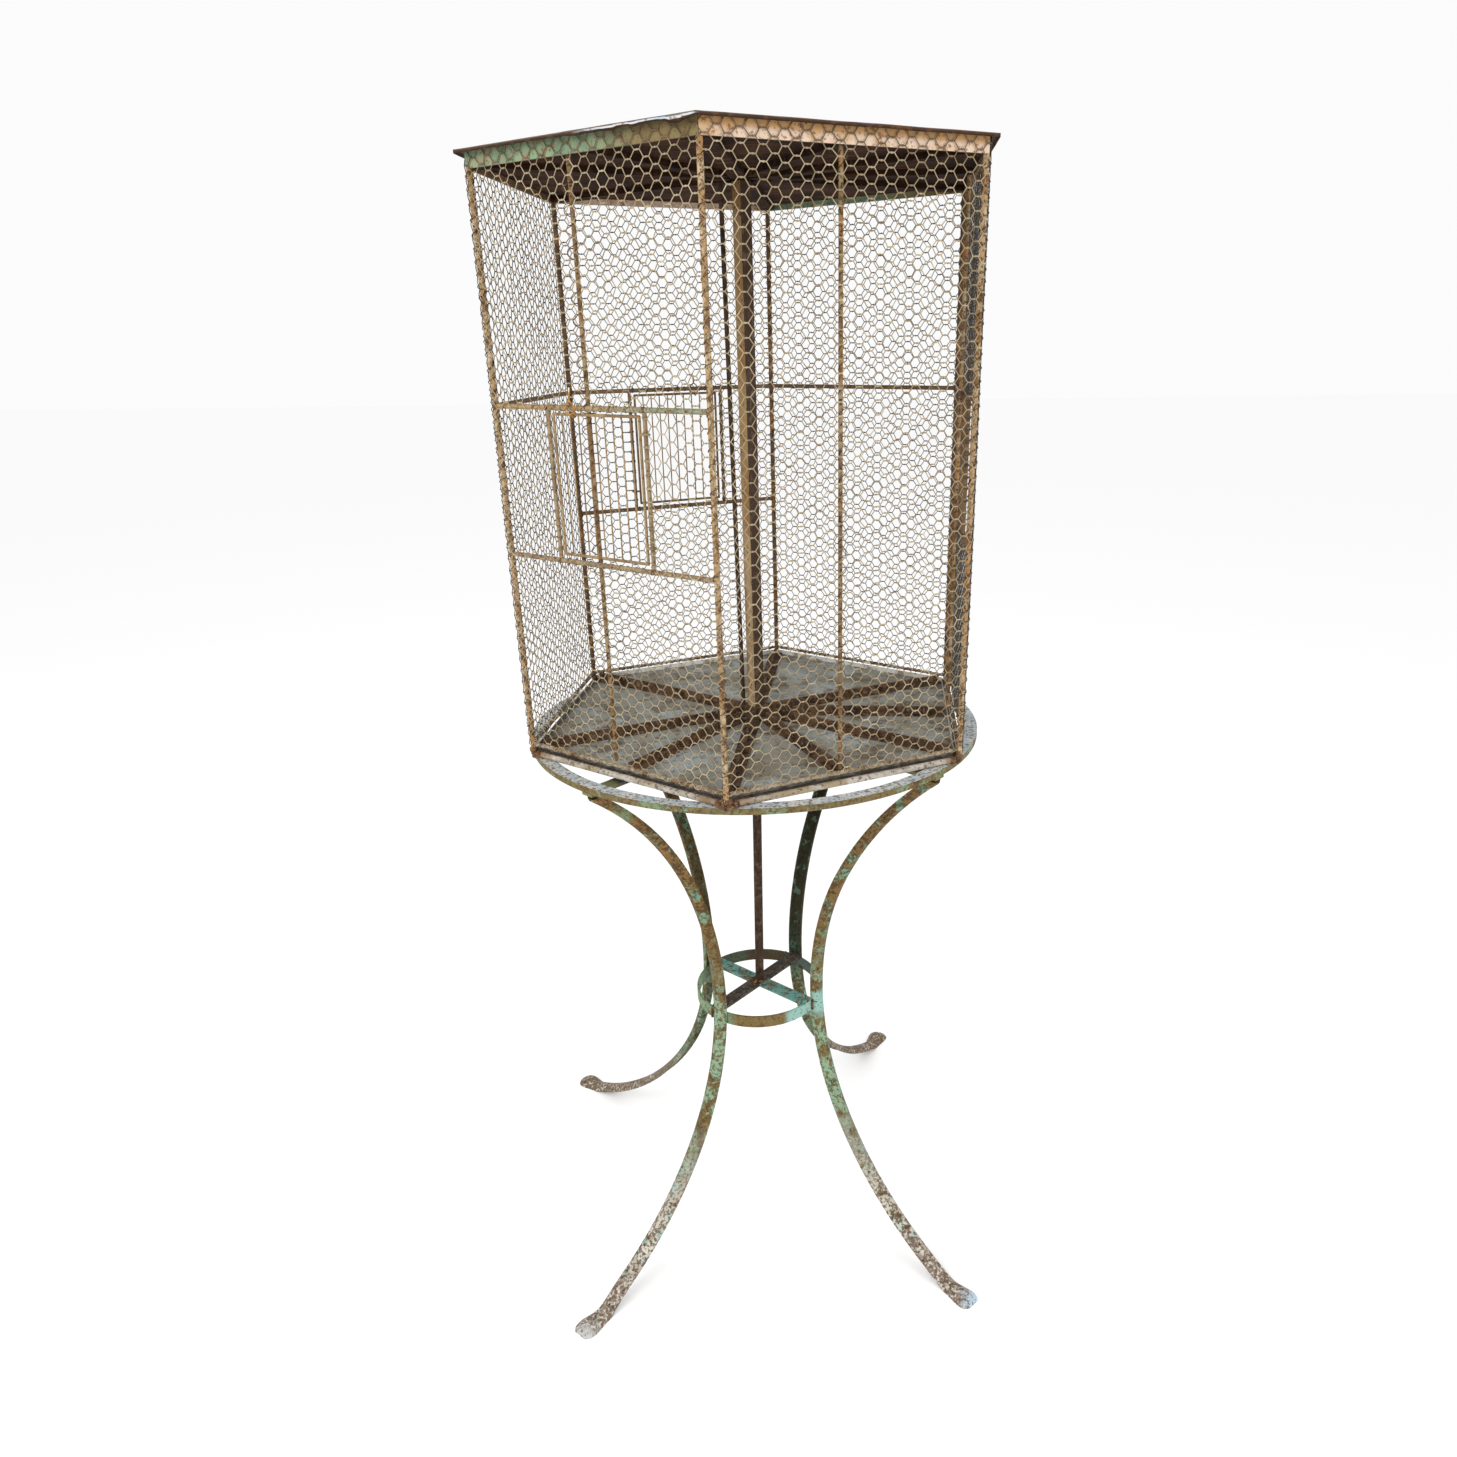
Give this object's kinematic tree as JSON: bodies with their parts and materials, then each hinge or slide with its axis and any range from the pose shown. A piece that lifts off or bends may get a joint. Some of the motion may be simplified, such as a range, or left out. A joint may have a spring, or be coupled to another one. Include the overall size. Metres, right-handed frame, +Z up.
{
  "type": "bird cage on stand",
  "caption": "Hexagonal wire-netting bird cage with barred side doors, resting on a ring stand with curved iron legs drawn in to a small ring at the waist.",
  "frame": {"origin": "on the ground, under the middle of the overall box; the stand's axis is at x 23.6 mm, y -39.1 mm", "axes": "+Z up; -Y towards the viewer of the front corner, +X to the right"},
  "size_m": [0.8844, 0.9254, 1.8626],
  "materials": {
    "weathered_green": "old mint-green paint worn through to olive and rust-brown iron, with cream chips",
    "dark_rust": "dark brown rusted iron",
    "cream_paint": "dirty cream paint with rust at the corners",
    "galvanised_sheet": "dull grey-green galvanised sheet with grime",
    "ochre_rust": "cream and ochre paint with orange rust",
    "fascia_paint": "mint-green and cream paint over ochre rust",
    "roof_timber": "very dark weathered boards",
    "netting_wire": "dull tan wire netting"
  },
  "bodies": {
    "stand_and_cage": {"top_ring": "weathered_green", "leg_front_left": "weathered_green", "leg_front_right": "weathered_green", "leg_back_right": "weathered_green", "leg_back_left": "weathered_green", "waist_ring": "weathered_green", "waist_strap_teal": "weathered_green", "waist_strap_dark": "dark_rust", "seat_strap_dark": "dark_rust", "seat_strap_teal": "dark_rust", "tie_rod": "dark_rust", "floor_ribs": "dark_rust", "floor_hub": "dark_rust", "base_rail": "cream_paint", "floor_tray": "galvanised_sheet", "post_left_front": "ochre_rust", "post_front": "ochre_rust", "post_right_front": "ochre_rust", "post_right_back": "ochre_rust", "post_back": "ochre_rust", "post_left_back": "ochre_rust", "middle_stile_front_left": "ochre_rust", "middle_stile_front_right": "ochre_rust", "middle_stile_right": "ochre_rust", "side_rod": "ochre_rust", "centre_post": "ochre_rust", "netting_rods": "ochre_rust", "front_left_upper_rail": "ochre_rust", "front_left_lower_rail": "ochre_rust", "front_left_door_stiles": "ochre_rust", "right_upper_rail": "ochre_rust", "right_lower_rail": "ochre_rust", "right_door_stiles": "ochre_rust", "back_left_upper_rail": "ochre_rust", "back_left_lower_rail": "ochre_rust", "back_left_door_stiles": "ochre_rust", "back_right_middle_rail": "ochre_rust", "left_middle_rail": "ochre_rust", "fascia": "fascia_paint", "roof_boards": "roof_timber", "roof_rafters": "dark_rust", "roof_sheet": "dark_rust", "front_left_netting": "netting_wire", "front_right_netting": "netting_wire", "right_netting": "netting_wire", "back_right_netting": "netting_wire", "back_left_netting": "netting_wire", "left_netting": "netting_wire"},
    "front_left_door": {"front_left_door_frame": "ochre_rust", "front_left_door_bars": "ochre_rust"},
    "front_left_latch": {"front_left_door_latch": "ochre_rust"},
    "right_door": {"right_door_frame": "ochre_rust", "right_door_bars": "ochre_rust"},
    "right_latch": {"right_door_latch": "ochre_rust"},
    "back_left_door": {"back_left_door_frame": "ochre_rust", "back_left_door_bars": "ochre_rust"},
    "back_left_latch": {"back_left_door_latch": "ochre_rust"}
  },
  "joints": [
    {"name": "front_left_door_hinge", "type": "hinge", "parent": "stand_and_cage", "child": "front_left_door", "pos_m": [-0.05986, -0.37585, 1.4392], "axis": [0, 0, 1], "range_deg": [0, 105]},
    {"name": "front_left_latch_hinge", "type": "hinge", "parent": "front_left_door", "child": "front_left_latch", "pos_m": [-0.16974, -0.31241, 1.5346], "axis": [0.866, -0.5, 0], "range_deg": [0, 85]},
    {"name": "right_door_hinge", "type": "hinge", "parent": "stand_and_cage", "child": "right_door", "pos_m": [0.37185, 0.0464, 1.4392], "axis": [0, 0, 1], "range_deg": [0, 105]},
    {"name": "right_latch_hinge", "type": "hinge", "parent": "right_door", "child": "right_latch", "pos_m": [0.37185, -0.08048, 1.5346], "axis": [0, 1, 0], "range_deg": [0, 85]},
    {"name": "back_left_door_hinge", "type": "hinge", "parent": "stand_and_cage", "child": "back_left_door", "pos_m": [-0.20969, 0.20915, 1.4392], "axis": [0, 0, 1], "range_deg": [0, 105]},
    {"name": "back_left_latch_hinge", "type": "hinge", "parent": "back_left_door", "child": "back_left_latch", "pos_m": [-0.09981, 0.27259, 1.5346], "axis": [-0.866, -0.5, 0], "range_deg": [0, 85]}
  ]
}
